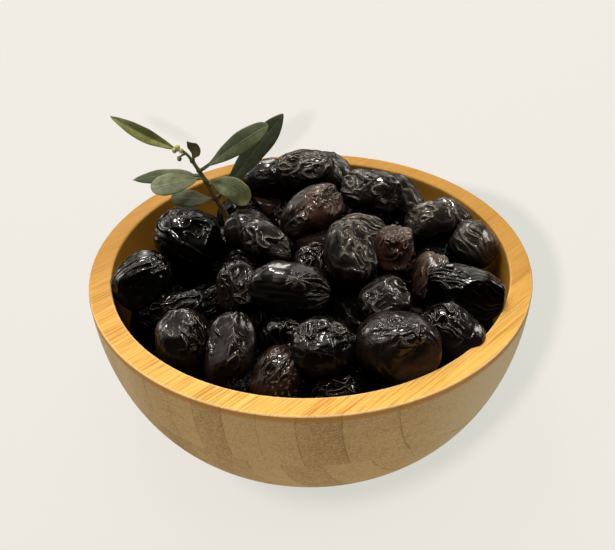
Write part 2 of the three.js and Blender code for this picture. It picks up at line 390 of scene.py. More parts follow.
def bambooMaterial():
    # strips glued side by side in layers: fibres run along them, and show as specks where they are cut
    material, shader, wire, place = newMaterial("glued bamboo")
    turn = math.radians(bamboo["grainTurn"])
    along = place.dot((math.cos(turn), math.sin(turn), 0))
    across = place.dot((-math.sin(turn), math.cos(turn), 0))
    height = place.dot((0, 0, 1))
    radius = place.scaled((1, 1, 0)).length()
    bare = wire.attribute("bare")

    ripple = height + (place.noise(bamboo["layerRipple"]) * 2 - 1)
    layer = (ripple > bamboo["layerTops"][0]) + (ripple > bamboo["layerTops"][1])
    strip = (across - bamboo["firstJoint"]) / bamboo["stripWidth"] + bamboo["firstTone"]
    strip = strip - layer * bamboo["layerShift"]
    cells = {"W": strip, "Scale": 1.0, "Randomness": 0.0}
    chance = wire.node("TexVoronoi", {"voronoi_dimensions": "1D", "feature": "F1"}, cells, "Color")
    edge = wire.node("TexVoronoi", {"voronoi_dimensions": "1D", "feature": "DISTANCE_TO_EDGE"}, cells)
    joint = 1 - edge.rise(0.0, bamboo["jointWidth"] / bamboo["stripWidth"])
    tone = chance.dot((1, 0, 0))
    shift = chance.dot((0, 60, 0))

    def grain(pattern, detail, roughness):
        x, y, z = bamboo[pattern]
        return wire.stack(across * x, height * y + shift, along * z).noise(1.0, detail, roughness)

    def below(low, high):
        # 1 from high mm below the rim's top, and 0 from low mm down
        return height.rise(bowl["height"] - low, bowl["height"] - high)

    def tinted(mask, colour, name):
        return (mask * bamboo["shares"][name]).between(colour, bamboo[name])

    fibre = grain("fibre", 3.0, 0.7)
    band = grain("band", 1.0, 0.5)
    speck = grain("speck", 3.0, 0.75)
    # the fibres crowd towards one side of each strip
    crowd = (chance.dot((0, 0, 1)) - 0.5) * ((strip + 0.5).fraction() - 0.5)
    dark = fibre.rise(0.48, 0.6) * 0.6 + band.rise(0.3, 0.7) * 0.3 + tone * 0.4 + crowd * 0.35 - 0.2
    toFront = place.dot((0, -1, 0)).rise(-20, 80)
    honey = dark.rise(0, 1).between(bamboo["honey"], bamboo["honeyDark"])
    honey = tinted((1 - fibre).rise(0.5, 0.64) * (1 - dark).rise(0, 1), honey, "honeyLight")
    # painted shade: darker towards the back and sides, lighter at the front
    honey = tinted(1 - toFront, honey, "honeyBackShade")
    # the inner wall below the rim takes a darker tone
    honey = tinted((1 - bare) * (1 - below(4, 0.6)), honey, "innerHoney")
    # painted shade: the inner wall darkens close to the olives, where their shade falls
    shadeLine = place.dot((0, bamboo["shadeSlant"], 1))
    shadeNearOlives = (1 - bare) * (1 - shadeLine.rise(bowl["height"] - 15, bowl["height"] - 6))
    honey = tinted(shadeNearOlives * (1 - below(2, 0.8)), honey, "shadeNearOlives")
    # painted highlight: a pale line along the rim's two edges, towards the front
    fromRim = abs(radius - (bowl["rimRadius"] - bowl["rimWidth"] / 2))
    honey = tinted(fromRim.rise(2.9, 3.4) * below(0.45, 0.2) * toFront, honey, "edgeHighlight")

    rawDark = tone * 0.4 + crowd * 0.5 + band.rise(0.3, 0.7) * 0.15 + speck.rise(0.46, 0.6) * 0.36
    raw = rawDark.rise(0, 1).between(bamboo["raw"], bamboo["rawDark"])
    raw = tinted((1 - speck).rise(0.52, 0.66), raw, "rawLight")
    # painted light: the outside is paler towards its left and right sides
    raw = tinted(abs(place.dot((1, 0, 0)) + 8).rise(30, 68), raw, "rawSideLight")
    raw = tinted(below(3, 1.5), raw, "honeyDark")
    rimTop = below(0.6, 0.4)
    wood = (bare * (1 - rimTop)).between(honey, raw)
    # the joints show most on the upper part of the outside
    low = 1 - height.rise(bamboo["layerTops"][0] - 2, bamboo["layerTops"][0] + 1)
    shown = (0.15 + bare * (0.3 - 0.2 * low)) * (1 - rimTop * 0.5) * band.rise(0.3, 0.6)
    wood = (joint * shown).between(wood, bamboo["joint"])
    fill(wire.tree, shader, {
        "Base Color": wood,
        "Roughness": 0.36 + 0.2 * bare + fibre * 0.12,
        "Normal": (fibre * 0.6 + speck * 0.4 - joint * 0.6).bump(0.2, 0.0002),
        "Specular IOR Level": 0.05,
    })
    return material


# How a skin has dried: the number and depth of the flats, which are dents as from a flat stone, then how the
# creases lie (long ones run along the olive), how far apart and how high they are, the same for fine ones,
# and how lumpy the olive is.
lookKeys = ("flats", "flatDepth", "lines", "spacing", "crease", "fineSpacing", "fine", "lumps")
looks = {
    "folded": (4, 0.1, "net", 4.2, 1.1, 2.1, 0.16, 0.4),
    "walnut": (3, 0.06, "long", 2.4, 0.7, 1.6, 0.15, 0.4),
    "crumpled": (4, 0.08, "net", 3.2, 1.0, 1.8, 0.17, 0.45),
    "sleek": (4, 0.08, "long", 3.6, 0.5, 2.0, 0.12, 0.3),
    "swirled": (2, 0.05, "net", 3.2, 0.7, 2.1, 0.14, 0.4),
}
lookDown = (0.575, 0.818)       # sine and cosine of the angle that seen looks down at


def seen(right, up, near):
    # a direction named as from the front, looking down
    sine, cosine = lookDown
    return np.array([right, sine * up - cosine * near, cosine * up + sine * near])


def olive(at, size, lie, skinName, look, warm, **marks):
    return {"at": at, "size": size, "turn": lie[0], "tilt": lie[1], "skin": skinName, "look": look,
            "warm": warm, **marks}


# Each olive has its middle, its length and girth, the turn of its long axis about Z and its tilt from level
# in degrees, its skin, its look and how brown it is. extraWarm makes it browner on the warmSide, and the
# painted sheen mark is how much grey stands in for its sheen. The other marks start with a direction as in
# seen. creased goes on with the degrees that a wrinkled patch reaches, and its strength if it is weak. flats
# have a depth as a share of the olive's own, bands how far off the middle a fold round the olive runs and
# its height, and tip how far it sticks out. eye is a swirl of creases, pucker a star of them, and speckled a
# side with specks, painted with glints. calm is how much the skin between the patches creases, and pitEnd
# which end had the stalk.
olives = [
    # against the back and in the middle of the back
    olive((-16, 44, 66), (18, 15), (5, 5), "jet", "folded", 0.3, creased=[(0.75, 0.1, 0.6, 32)],
          flats=[(-0.35, 0.55, 0.75, 0.07)]),
    olive((-1, 41, 71), (23, 15), (0, 0), "jet", "crumpled", 0.12, bloom=0.75,
          creased=[(-0.1, 0.4, 0.9, 48)], flats=[(0, 0.15, 0.95, 0.08)]),
    olive((9, 52, 63), (19, 16), (160, 30), "ink", "sleek", 0.3, bloom=1.0, creased=[(-0.1, 0.3, 0.9, 34)],
          bands=[(1, 0, 0, 0.3, 0.4)]),
    olive((3, 49, 56), (21, 17), (20, 0), "hidden", "sleek", 0.1),
    olive((23, 24, 71), (23, 15), (170, 5), "jet", "crumpled", 0.0, bloom=0.8,
          creased=[(-0.4, 0.35, 0.85, 44), (0.35, -0.3, 0.9, 24)], flats=[(0.4, -0.4, 0.85, 0.2),
          (-0.6, 0.2, 0.8, 0.08)]),
    olive((34, 29, 65), (18, 15), (145, 40), "ink", "sleek", 0.0, bloom=1.0,
          creased=[(0.6, -0.1, 0.8, 34, 0.5)]),
    olive((34, 29, 53), (17, 15), (0, 5), "hidden", "sleek", 0.1),
    olive((1, 11, 71), (24, 15), (20, 30), "russet", "crumpled", 0.4, bloom=0.6, warmSide=(0.6, 0.35, 0.75),
          extraWarm=0.6, creased=[(0.6, 0.35, 0.75, 40), (-0.25, -0.1, 0.95, 18)],
          flats=[(0.6, 0.2, 0.75, 0.15), (-0.5, -0.2, 0.8, 0.1)]),
    olive((-26, 31, 58), (17, 15), (40, 0), "hidden", "sleek", 0.0),
    olive((-8, 46, 56), (18, 15), (0, 0), "hidden", "sleek", 0.0),
    olive((-18, 37, 54), (20, 16), (0, 5), "hidden", "sleek", 0.6),
    # right-hand side
    olive((44, 18, 61), (18, 15), (5, 20), "umber", "crumpled", 0.4, bloom=1.0,
          creased=[(-0.5, 0.35, 0.8, 36)], flats=[(-0.75, 0.1, 0.6, 0.1)]),
    olive((53, 26, 58), (16, 13), (150, 25), "umber", "sleek", 0.35, bloom=0.8,
          creased=[(0.1, 0.2, 0.95, 32, 0.6)], flats=[(-0.3, 0.5, 0.8, 0.08)]),
    olive((58, 6, 59), (18, 16), (140, 35), "umber", "walnut", 0.2, bloom=0.8, warmSide=(0.8, -0.3, 0.5),
          extraWarm=0.45, creased=[(-0.25, 0.2, 0.95, 36)]),
    olive((49, -26, 63), (25, 17), (160, 10), "jet", "walnut", 0.0, creased=[(-0.5, 0.6, 0.65, 32)],
          flats=[(0.15, -0.2, 0.95, 0.22), (-0.8, -0.2, 0.5, 0.1)]),
    olive((40, -11, 58), (16, 13), (55, 50), "russet", "walnut", 0.75, bloom=0.5,
          creased=[(-0.4, -0.3, 0.85, 40), (0.6, 0.5, 0.6, 25)]),
    olive((28, -11, 69), (17, 15), (70, 55), "russet", "crumpled", 0.75, creased=[(0.4, 0.0, 0.9, 48),
          (-0.4, 0.5, 0.7, 25)], flats=[(0, 0.85, 0.5, 0.22), (-0.35, -0.15, 0.9, 0.14),
          (0.95, 0.1, 0.2, 0.18), (-0.95, 0, 0.2, 0.12), (0.5, -0.2, 0.85, 0.1)]),
    # middle
    olive((13, -16, 72), (22, 17), (110, 55), "jet", "crumpled", 0.2, bloom=0.9,
          creased=[(0.3, 0.2, 0.9, 40), (-0.4, 0.8, 0.4, 18)], flats=[(0.5, 0.15, 0.85, 0.14)]),
    olive((18, 2, 67), (17, 14), (170, 5), "umber", "walnut", 0.5, bloom=0.8, creased=[(0, 0.5, 0.8, 60)]),
    olive((-15, -1, 67), (18, 13), (160, 30), "jet", "folded", 0.2, bloom=0.8,
          creased=[(0.5, 0.1, 0.85, 38), (-0.6, 0.0, 0.7, 22)], bands=[(0.8, 0.5, 0, -0.3, 0.35)],
          flats=[(0.4, 0.15, 0.9, 0.15), (-0.6, -0.2, 0.7, 0.12)], tip=(0.65, -0.65, 0.4, 1.6)),
    olive((-22, 12, 63), (17, 15), (5, 5), "umber", "sleek", 0.42, creased=[(0.9, 0.1, 0.4, 28)],
          flats=[(-0.5, 0.2, 0.8, 0.06)]),
    olive((2, -14, 65), (16, 12), (125, 50), "umber", "swirled", 0.5, creased=[(0, 0.4, 0.85, 60)],
          eye=(-0.15, 0.45, 0.85)),
    olive((3, 6, 60), (18, 15), (0, 0), "hidden", "sleek", 0.6),
    olive((-7, -27, 66), (26, 17), (175, 5), "jet", "walnut", 0.0, bloom=0.2, calm=0.03, pitEnd=-1,
          creased=[(0.2, 0.45, 0.85, 17), (0.7, 0.0, 0.7, 30)], bands=[(0.3, 0.9, 0, -0.5, 0.3)],
          flats=[(-0.6, -0.2, 0.8, 0.05), (0.6, -0.1, 0.8, 0.1)], pucker=(0.15, 0.4, 0.92)),
    olive((-23, -23, 64), (17, 15), (105, 55), "umber", "folded", 0.45, creased=[(0.1, -0.35, 0.9, 36),
          (-0.5, 0.4, 0.8, 20)], bands=[(0.8, 0.5, 0, 0.05, 0.4)], flats=[(0.35, 0.4, 0.85, 0.12),
          (-0.5, -0.1, 0.85, 0.1)]),
    olive((23, -31, 64), (16, 14), (10, 20), "ink", "folded", 0.0, bloom=0.6,
          creased=[(-0.4, 0.0, 0.9, 38)], flats=[(0.5, 0.45, 0.75, 0.13)]),
    # left-hand side
    olive((-42, 4, 66), (23, 21), (175, 25), "jet", "folded", 0.0, creased=[(-0.1, 0.75, 0.6, 14, 0.6),
          (0.65, 0.1, 0.7, 16, 0.5)], bands=[(0.62, 0.78, 0, -0.15, 0.6), (0.62, 0.78, 0, -0.35, 0.5),
          (0.55, 0.83, 0, -0.55, 0.5)], flats=[(0.5, 0.3, 0.8, 0.08), (0.9, -0.1, 0.3, 0.12)]),
    olive((-56, -11, 59), (21, 19), (40, 30), "jet", "swirled", 0.0, creased=[(0.6, 0.5, 0.6, 24)],
          bands=[(0.05, -0.15, 0.95, 0.93, 0.3), (0.05, -0.15, 0.95, 0.75, 0.4),
          (0.05, -0.15, 0.95, 0.5, 0.3)], flats=[(0.1, -0.1, 0.95, 0.1)]),
    olive((-40, -21, 54), (19, 15), (10, 5), "ink", "folded", 0.1, creased=[(-0.3, 0.5, 0.8, 28)],
          bands=[(1, 0.3, 0, 0.4, 0.5)]),
    # front
    olive((-39, -41, 58), (20, 17), (105, 50), "umber", "crumpled", 0.4, creased=[(0.55, 0.4, 0.75, 28)],
          flats=[(-0.25, 0.6, 0.8, 0.1)]),
    olive((-24, -47, 59), (23, 16), (80, 45), "russet", "folded", 0.55, creased=[(0.4, 0.15, 0.9, 20),
          (-0.65, 0.35, 0.6, 14)], flats=[(-0.4, 0.4, 0.8, 0.14), (0.7, 0.4, 0.55, 0.16),
          (0.05, -0.5, 0.85, 0.07)]),
    olive((-10, -54, 54), (18, 16), (50, 35), "russet", "walnut", 0.6, creased=[(-0.1, 0.6, 0.8, 34)],
          speckled=(0.55, -0.2, 0.8)),
    olive((3, -50, 62), (19, 18), (5, 5), "umber", "folded", 0.2, creased=[(-0.25, 0.65, 0.7, 28),
          (0.75, 0.45, 0.5, 24)], bands=[(1, 0.1, 0, 0.42, -0.8)], flats=[(-0.3, 0.6, 0.75, 0.12)]),
    olive((25, -50, 62), (25, 21), (165, 5), "russet", "swirled", 0.5, warmSide=(0.7, -0.7, 0.1),
          extraWarm=0.3, creased=[(0.05, 0.6, 0.8, 28)], bands=[(0.25, -0.3, 0.92, 0.96, 0.3),
          (0.25, -0.3, 0.92, 0.85, 0.35), (0.25, -0.3, 0.92, 0.66, 0.4)], flats=[(0.25, -0.3, 0.9, 0.18),
          (-0.1, 0.7, 0.7, 0.06)]),
    olive((43, -41, 58), (22, 17), (135, 30), "ink", "folded", 0.2, warmSide=(0.3, -0.5, 0.8),
          extraWarm=0.25, creased=[(-0.45, 0.55, 0.7, 38)]),
    olive((8, -57, 51), (17, 13), (5, 5), "ink", "crumpled", 0.0, creased=[(-0.3, 0.4, 0.9, 40)]),
    olive((-8, -40, 57), (15, 13), (0, 0), "ink", "folded", 0.0, creased=[(0.3, 0.6, 0.7, 20)]),
]
heap = {
    # the layer below follows a sunflower spiral over the mound, as in the solid
    "moundTop": 55,
    "moundEdge": 40,
    "count": 30,
    "reach": 56,
    "size": (21, 16),
    "raised": 2,
    "spiral": 137.5,
    "clearance": 0.35,
    # the dark inside of the heap
    "coreDrop": 4,
    "coreRadius": 66.0,
    "coreSteps": 36,
    "coreSides": 96,
    "coreLumps": (2.6, 0.8),
    # every olive
    "seed": 100,
    "lowerSeed": 5,
    "fineLevel": 6,
    "coarseLevel": 5,
    "shownSide": (0, -0.35, 0.94),
    "focus": 0.45,              # how much finer the mesh is on that side
    "unevenness": 0.05,
    "fullness": 2.5,            # 2 is an ellipsoid, and more is a barrel
    "flatEdge": 0.25,           # how sharp the rim of a flat is, in mm
    "hollow": 1.18,             # above 1 the flats are dished
    "calm": 0.11,
    "patchReach": 1.1,
    "creaseSides": (0.5, 1.3),  # how wide the steep and the gentle side of a crease are, in mm
    "fineSides": (0.35, 0.5),
    "bandSides": (0.05, 0.1),   # the same as a share of the olive
    "ringSpacing": 3.8,
    "puckerRays": 5,
}
oliveSkin = {
    "black": paint(3, 3, 3),
    "umber": paint(14, 11, 9),
    "brown": paint(27, 18, 13),
    "russet": paint(70, 43, 30),
    # painted highlight: the pale line along the creases' tops, also used for the specks' glints
    "crest": paint(184, 172, 156),
    "bloom": paint(117, 109, 98),       # painted sheen: a grey that stands in for the broad sheen of the skin
    "roughness": 0.06,
    "gloss": 0.45,
    "deepGloss": 0.06,          # in the shade of the olives above
    "crestHighlightShare": 1.0,
    "deepCrestHighlightShare": 0.15,
    "dryShare": 0.8,            # how much of the oil the undersides lack
    "dryGloss": 0.3,
}


def moundHeight(radius):
    return heap["moundTop"] - (heap["moundTop"] - heap["moundEdge"]) * (radius / bowl["rimRadius"]) ** 2


def keepInBowl(points):
    # nothing goes through the wall
    radius = np.hypot(points[:, 0], points[:, 1])
    room = insideRadius(points[:, 2]) - heap["clearance"]
    inBowl = points[:, 2] < bowl["height"]
    shrink = np.where(inBowl, np.minimum(1, room / np.maximum(radius, 1e-6)), 1)
    points[:, :2] *= shrink[:, None]
    return points


def angleFrom(facing, way):
    return np.arccos(np.clip(facing @ unit(way), -1, 1))


def fold(distance, sides):
    # a ridge that leans over: steep on one side and gentle on the other
    steep, gentle = sides
    return np.exp(-(distance / np.where(distance > 0, steep, gentle)) ** 2)


def barrel(directions, half, around, order):
    x, y, z = directions.T
    # the solid's own slow waves
    roundWave = np.sin(2 * around + order) * (1 - x * x)
    alongWave = np.sin(3 * x + 2 * order)
    swell = 1 + heap["unevenness"] * roundWave + heap["unevenness"] / 2 * alongWave
    fullness = heap["fullness"]
    shoulder = (np.abs(x) ** fullness + np.hypot(y, z) ** fullness) ** (-1 / fullness)
    return directions * (swell * shoulder)[:, None] * half


def dent(points, flats, half):
    edge = heap["flatEdge"]
    for way, depth in flats:
        over = points @ way - np.linalg.norm(half * way) * (1 - depth)
        points = points - np.outer(heap["hollow"] * np.logaddexp(0, over / edge) * edge, way)
    return points


def creaseField(kind, spacing, place, around, girth, wander):
    # crosses zero where a crease runs
    if kind == "net":
        return softNoise(place / spacing * np.array([0.6, 1, 1]) + 0.45 * wander)
    count = max(3, round(math.pi * girth / 2 / spacing))
    drift = 2.2 * wander[:, 0] + 1.1 * wander[:, 1]
    return np.sin(count * around + drift) + 0.7 * softNoise(place / spacing * 0.7 + 60)


def distanceToLine(field, points, near):
    # from a field that is zero on the line, in mm
    steps = np.linalg.norm(points[near] - points[:, None], axis=2)
    slope = np.max(np.abs(field[near] - field[:, None]) / (steps + 1e-6), axis=1)
    return np.clip(field / (slope + 1e-3), -4, 4)


def addEye(field, facing, way, radius, wander):
    # rings of creases, with a clear middle
    away = angleFrom(facing, way) * radius
    rings = np.sin(math.pi * away / heap["ringSpacing"] + 4.5 * wander[:, 0] + 3.0 * wander[:, 1])
    return field + (rings - field) * 0.8 * rise(away, 0.8, 2.4) * (1 - rise(away, radius * 0.6, radius))


def addPucker(field, facing, way, radius, wander):
    # creases that run to a point
    middle = unit(way)
    side = unit(np.cross(middle, (0.3, 1, 0.2)))
    out = facing - np.outer(facing @ middle, middle)
    bearing = np.arctan2(out @ np.cross(middle, side), out @ side)
    rays = np.sin(heap["puckerRays"] * bearing + 1.5 * wander[:, 0])
    away = angleFrom(facing, way) * radius
    return field + (rays - field) * (1 - rise(away, radius * 0.25, radius * 0.5))


def wrinkled(olive, draw, facing, place):
    # the creases lie in patches, and the skin between those is calm
    if "creased" in olive:
        patches = [(seen(*mark[:3]), mark[3], mark[4] if len(mark) > 4 else 1) for mark in olive["creased"]]
    else:
        patches = [(way, 45, 1) for way in draw.normal(size=(2, 3))]
    rough = np.full(len(facing), olive.get("calm", heap["calm"]))
    for way, reach, strength in patches:
        reach = reach * heap["patchReach"]
        angle = np.degrees(angleFrom(facing, way)) + 14 * waves(place, 4, 170)
        rough = np.maximum(rough, (1 - rise(angle, 0.7 * reach, 1.1 * reach)) * strength)
    return rough


def stalkPit(points, around, wander, pitEnd):
    # a small pit where the stalk was, with pleats round it
    fromEnd = np.hypot(points[:, 1], points[:, 2]) + np.where(points[:, 0] * pitEnd > 0, 0, 50)
    pleats = np.sin(7 * around + 3 * wander[:, 0])
    return 0.2 * pleats * np.exp(-((fromEnd - 2.6) / 1.6) ** 2) - 0.8 * np.exp(-(fromEnd / 1.2) ** 2)


def shapeOlive(ball, olive, order):
    ballPoints, faces, near = ball
    look = dict(zip(lookKeys, looks[olive["look"]]))
    draw = np.random.default_rng(heap["seed"] + order)
    turn = Matrix.Rotation(math.radians(olive["turn"]), 3, "Z")
    tilt = Matrix.Rotation(-math.radians(olive["tilt"]), 3, "Y")
    toBowl = np.array(turn @ tilt)
    # the mesh is finer on the side that shows
    directions = unit(ballPoints + heap["focus"] * (unit(heap["shownSide"]) @ toBowl))
    around = np.arctan2(directions[:, 2], directions[:, 1])
    length, girth = olive["size"]
    half = np.array([length, girth, girth]) / 2
    points = barrel(directions, half, around, order)
    normals = unit(directions / half)
    facing = normals @ toBowl.T

    if "flats" in olive:
        flats = [(unit(seen(*way)) @ toBowl, depth) for *way, depth in olive["flats"]]
    else:
        flats = [(way, look["flatDepth"] * draw.uniform(0.6, 1.4))
                 for way in unit(draw.normal(size=(look["flats"], 3)))]
    points = dent(points, flats, half)
    if "tip" in olive:
        tipWay = unit(seen(*olive["tip"][:3]))
        points += np.outer(olive["tip"][3] * rise(facing @ tipWay, 0.75, 1.0), tipWay @ toBowl)

    place = points + draw.uniform(0, 200, size=3)
    wander = np.stack([waves(place, 5, shift) for shift in (0, 31, 67)], axis=1)
    field = creaseField(look["lines"], look["spacing"], place, around, girth, wander)
    fineField = creaseField(look["lines"], look["fineSpacing"], place + 77, around, girth, 1.5 * wander)
    if "eye" in olive:
        field = addEye(field, facing, seen(*olive["eye"]), girth / 2, wander)
    if "pucker" in olive:
        field = addPucker(field, facing, seen(*olive["pucker"]), girth / 2, wander)
    distance = distanceToLine(field, points, near)
    fineDistance = distanceToLine(fineField, points, near)
    rough = wrinkled(olive, draw, facing, place)
    creaseHeight = look["crease"] * (0.3 + 0.7 * rise(waves(place, 4.5, 130), -0.3, 0.2)) * rough
    fineHeight = look["fine"] * rise(waves(place, 3, 190), -0.3, 0.2) * rough
    relief = creaseHeight * (fold(distance, heap["creaseSides"]) + 0.2 * np.tanh(distance) - 0.3)
    relief += fineHeight * (fold(fineDistance, heap["fineSides"]) - 0.4)
    relief += look["lumps"] * waves(place, 5, 50)
    for *way, offset, height in olive.get("bands", []):
        off = facing @ unit(seen(*way)) - offset + 0.1 * waves(place, 6, 240)
        relief += height * fold(off, heap["bandSides"])
    relief += stalkPit(points, around, wander, olive.get("pitEnd", 1))
    points = points + normals * relief[:, None]

    warm = olive["warm"] + 0.12 * waves(place, 5, 210)
    if "warmSide" in olive:
        warm = warm + olive["extraWarm"] * rise(facing @ unit(seen(*olive["warmSide"])), 0.2, 0.8)
    speckled = np.zeros(len(points))
    if "speckled" in olive:
        speckled = rise(facing @ unit(seen(*olive["speckled"])), 0.5, 0.8)
    values = {
        "warm": np.clip(warm, 0, 1),
        "rough": rough,
        "fold": np.clip(distance, -2, 2),
        "foldHeight": creaseHeight,
        "pleat": np.clip(fineDistance, -2, 2),
        "pleatHeight": 3 * fineHeight,
        "speckled": speckled,
        "under": 1 - rise(facing[:, 2], 0.2, 0.75),
        # painted sheen, strongest in the wrinkled patches
        "bloom": olive.get("bloom", 0) * (0.2 + 0.8 * rough),
        "skinPlace": place * np.array([0.45, 1, 1]) + 1.4 * wander,
    }
    return keepInBowl(points @ toBowl.T + np.array(olive["at"])), faces, values


def lowerOlives(ball):
    draw = np.random.default_rng(heap["lowerSeed"])
    names = list(looks)
    parts = []
    for i in range(heap["count"]):
        turn = i * heap["spiral"]
        radius = heap["reach"] * math.sqrt((i + 0.5) / heap["count"])
        at = (radius * math.cos(math.radians(turn)), radius * math.sin(math.radians(turn)),
              moundHeight(radius) + heap["raised"])
        lower = olive(at, heap["size"], (turn, 0), "hidden", names[draw.integers(4)],
                      draw.choice([0, 0.1, 0.2]))
        parts.append(shapeOlive(ball, lower, i))
    return parts


def heapCore():
    # lumpy as deeper olives are
    radius = heap["coreRadius"]
    top = np.linspace(bowl["middle"], radius, heap["coreSteps"])
    wallHeights = np.linspace(moundHeight(radius) - heap["coreDrop"], bowl["floor"] + heap["clearance"],
                              heap["coreSteps"])
    profile = np.concatenate([
        np.stack([top, moundHeight(top) - heap["coreDrop"]], axis=1)[:-1],
        np.stack([insideRadius(wallHeights) - heap["clearance"], wallHeights], axis=1),
    ])
    points, faces = turnedSkin(profile, heap["coreSides"])
    large, small = heap["coreLumps"]
    lumps = large * np.abs(waves(points, 11)) + small * waves(points, 3)
    onTop = rise(-np.hypot(points[:, 0], points[:, 1]), -radius, 6 - radius)
    points[:, 2] += np.where(points[:, 2] > 25, lumps * onTop, 0)
    flat, full = np.zeros(len(points)), np.ones(len(points))
    values = {"warm": 0.1 * full, "rough": full, "fold": 2 * full, "foldHeight": flat, "pleat": 2 * full,
              "pleatHeight": flat, "speckled": flat, "under": full, "bloom": flat, "skinPlace": points}
    return points, faces, values


def makeHeap(material, deepMaterial):
    fine, coarse = unitBall(heap["fineLevel"]), unitBall(heap["coarseLevel"])
    for skinName in ("jet", "ink", "umber", "russet", "hidden"):
        ball = coarse if skinName == "hidden" else fine
        parts = [shapeOlive(ball, olive, order) for order, olive in enumerate(olives)
                 if olive["skin"] == skinName]
        chosen = deepMaterial if skinName == "hidden" else material
        makePiece("olives_" + skinName, parts, chosen, "olives")
    makePiece("olives_below", lowerOlives(coarse), deepMaterial, "olives")
    makePiece("heap_core", [heapCore()], deepMaterial, "olives")


def oliveMaterial(name, gloss, crestHighlightShare):
    material, shader, wire, place = newMaterial(name)
    warm = wire.attribute("warm")
    rough = wire.attribute("rough")
    under = wire.attribute("under")
    fromFold, foldHeight = abs(wire.attribute("fold")), wire.attribute("foldHeight")
    fromPleat, pleatHeight = abs(wire.attribute("pleat")), wire.attribute("pleatHeight")
    ridge = (1 - fromFold.rise(0.0, 0.42)) * foldHeight
    pleat = (1 - fromPleat.rise(0.0, 0.36)) * pleatHeight
    lines = wire.attribute("skinPlace", "Vector").noise(0.4, 0.0).crest(0.1)
    specksAndGlints = place.noise(1.1, 0.0).rise(0.6, 0.68) * wire.attribute("speckled")
    blotch = place.noise(0.35, 2.0)
    level = (warm + (blotch - 0.5) * 0.25 + ridge * 0.25 * warm).rise(0.0, 1.0)
    stops = [(0.0, oliveSkin["black"]), (0.3, oliveSkin["umber"]), (0.6, oliveSkin["brown"]),
             (1.0, oliveSkin["russet"])]
    colour = wire.node("ValToRGB", {"stops": stops}, {"Fac": level})
    # painted sheen: grey on the shoulders of the creases, and painted highlight: a pale line along their
    # tops
    bloom = wire.attribute("bloom") * (1 - under * 0.4)
    shoulder = 1 - fromFold.rise(0.1, 1.0) * 0.75
    colour = (bloom * shoulder).between(colour, oliveSkin["bloom"])
    # painted glints: the specks are tinted pale as well as raised
    colour = (specksAndGlints * 0.3).between(colour, oliveSkin["crest"])
    # painted highlight: pale lines along the tops of the creases, weaker on the undersides
    crest = (1 - fromFold.rise(0.0, 0.16)) * foldHeight
    fineCrestHighlight = (1 - fromPleat.rise(0.0, 0.14)) * pleatHeight
    crestHighlights = (crest * 0.55 + fineCrestHighlight * 0.35) * crestHighlightShare * (1 - under * 0.7) * (1 + bloom * 0.2)
    colour = crestHighlights.between(colour, oliveSkin["crest"])
    normal = (ridge * 0.8 + pleat * 0.7 + lines * (0.3 * rough) + specksAndGlints * 0.3).bump(1.0, 0.0006)
    # the wrinkles are oily, the calm brown skin is duller and the oil doesn't reach the undersides
    dull = (1 - rough) * (warm * 1.3 + 0.2)
    roughness = dull * 0.18 + blotch.rise(0.5, 0.8) * 0.1 + oliveSkin["roughness"]
    fill(wire.tree, shader, {
        "Base Color": colour,
        "Roughness": roughness,
        "IOR": 1.5,
        "Specular IOR Level": gloss,
        "Normal": normal,
    })
    dry = wire.node("BsdfPrincipled", {}, {
        "Base Color": colour,
        "Roughness": 0.3 + roughness * 0.5,
        "Specular IOR Level": gloss * oliveSkin["dryGloss"],
        "Normal": normal,
    })
    dryShare = under * oliveSkin["dryShare"]
    mixed = wire.node("MixShader", {}, {0: dryShare, 1: Wire(wire.tree, shader.outputs[0]), 2: dry})
    fill(wire.tree, wire.tree.nodes["Material Output"], {"Surface": mixed})
    return material


stem = {
    "path": [(-29, 18, 48), (-30, 20, 63), (-33.5, 20.5, 72), (-36.2, 21, 78.2), (-38.8, 21, 83.7),
             (-41.4, 21, 88.6), (-44.4, 21, 91.6)],
    "thickBelow": 2.9,
    "thickAbove": 0.9,
    "knots": (0.52, 0.67, 0.77, 0.86),
    "knotHeight": 0.35,
    "knotLength": 0.012,
    "around": 20,
    "steps": 120,
    "brown": paint(140, 118, 66),
    "green": paint(112, 114, 64),
    "streak": paint(70, 54, 30),
}
budStalk = {
    "path": [(-42, 21, 89.4), (-43.6, 20.2, 89), (-44.4, 19.6, 87.8)],
    "thick": 0.8,
    "around": 12,
    "steps": 20,
}
buds = {
    "places": [((-44.6, 20.6, 91.8), 1.15, "pale"), ((-45.8, 20.4, 91), 0.95, "pale"),
               ((-43.4, 20.2, 90.9), 0.95, "pale"), ((-44.3, 19.6, 88.2), 0.9, "green")],
    "shape": (0.85, 0.85, 1.1),
    "level": 4,
    "pale": paint(218, 214, 150),
    "green": paint(134, 132, 82),
}
leafShape = {
    "thickness": 0.45,
    "stalk": 0.12,
    "stalkWidth": 1.1,
    "edge": 0.12,
    "steps": 56,
    "cells": 18,
    "mottle": paint(60, 70, 42),
    "vein": paint(150, 156, 110),
    "midrib": paint(166, 168, 112),
    "underside": paint(148, 152, 118),
}


def leaf(start, middle, end, width, face, ends, crease, near, far, **marks):
    return {"path": (start, middle, end), "width": width, "face": face, "narrow": ends[0], "blunt": ends[1],
            "fold": crease, "near": paint(*near), "far": paint(*far), **marks}


